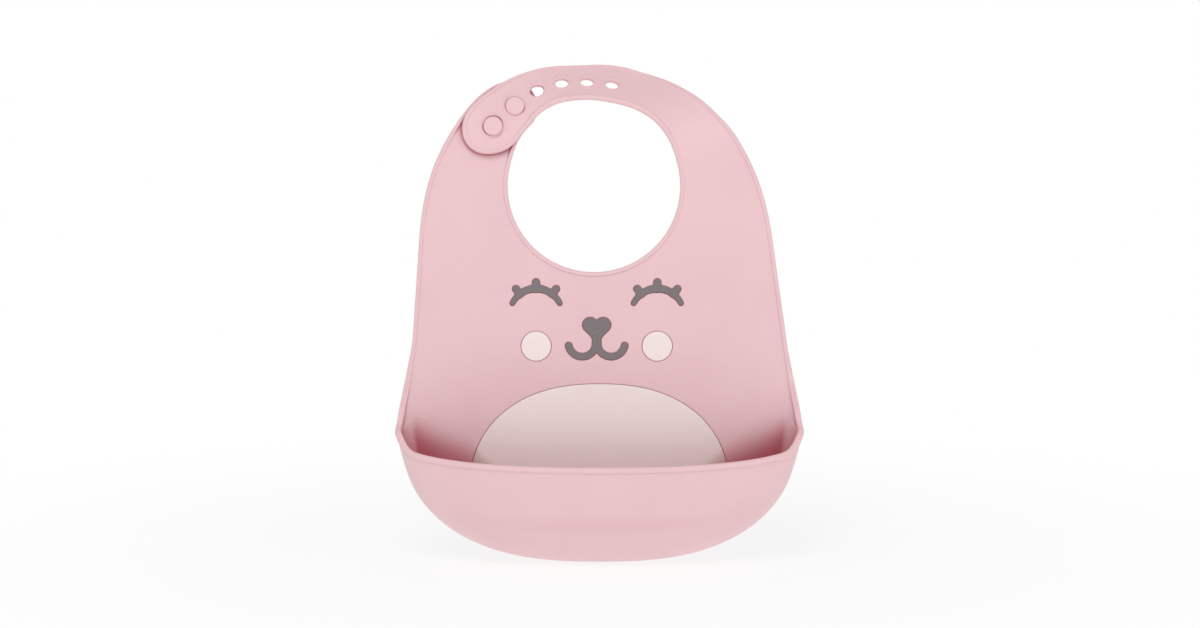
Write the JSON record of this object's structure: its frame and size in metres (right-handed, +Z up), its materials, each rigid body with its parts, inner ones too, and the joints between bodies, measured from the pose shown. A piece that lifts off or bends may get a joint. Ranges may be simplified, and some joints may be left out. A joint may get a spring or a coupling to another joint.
{
  "type": "silicone bib",
  "caption": "Soft moulded baby bib with a front catch pocket, a face and belly inlay, and a snap neck strap with a row of holes.",
  "frame": {"origin": "on the centre line of the bib, on its back face, level with the pocket corners", "axes": "+Z up towards the neck strap, +Y out of the back face towards the wearer, +X to the wearer's left"},
  "size_m": [0.232, 0.0894, 0.2831],
  "materials": {
    "pink_silicone": "satin",
    "cream_silicone": "satin",
    "grey_silicone": "satin"
  },
  "bodies": {
    "panel": {"face_panel": "pink_silicone", "belly_inlay": "cream_silicone", "left_eye_inlay": "grey_silicone", "right_eye_inlay": "grey_silicone", "muzzle_inlay": "grey_silicone", "left_cheek_inlay": "cream_silicone", "right_cheek_inlay": "cream_silicone"},
    "yoke": {"neck_yoke": "pink_silicone"},
    "pocket": {"catch_pocket": "pink_silicone"},
    "strap": {"hole_strap": "pink_silicone"},
    "tab": {"stud_tab": "pink_silicone", "upper_stud": "pink_silicone", "lower_stud": "pink_silicone"}
  },
  "joints": [
    {"name": "yoke_fold", "type": "hinge", "parent": "panel", "child": "yoke", "pos_m": [0, -0.002, 0.0822], "axis": [1, 0, 0], "range_deg": [0, 100], "stiffness_Nm_per_rad": 0.12},
    {"name": "strap_open", "type": "hinge", "parent": "yoke", "child": "strap", "pos_m": [-0.0032, -0.002, 0.1332], "axis": [0.9781, 0, 0.2079], "range_deg": [0, 75], "stiffness_Nm_per_rad": 0.06, "deforming": ["upper_stud", "lower_stud"]},
    {"name": "tab_flex", "type": "hinge", "parent": "yoke", "child": "tab", "pos_m": [-0.0032, 0, 0.1332], "axis": [-0.9903, 0, 0.1392], "range_deg": [0, 45], "stiffness_Nm_per_rad": 0.04, "deforming": ["upper_stud", "lower_stud"]},
    {"name": "pocket_flex", "type": "hinge", "parent": "panel", "child": "pocket", "pos_m": [0, -0.001, -0.07], "axis": [1, 0, 0], "range_deg": [-10, 15], "stiffness_Nm_per_rad": 0.1}
  ]
}
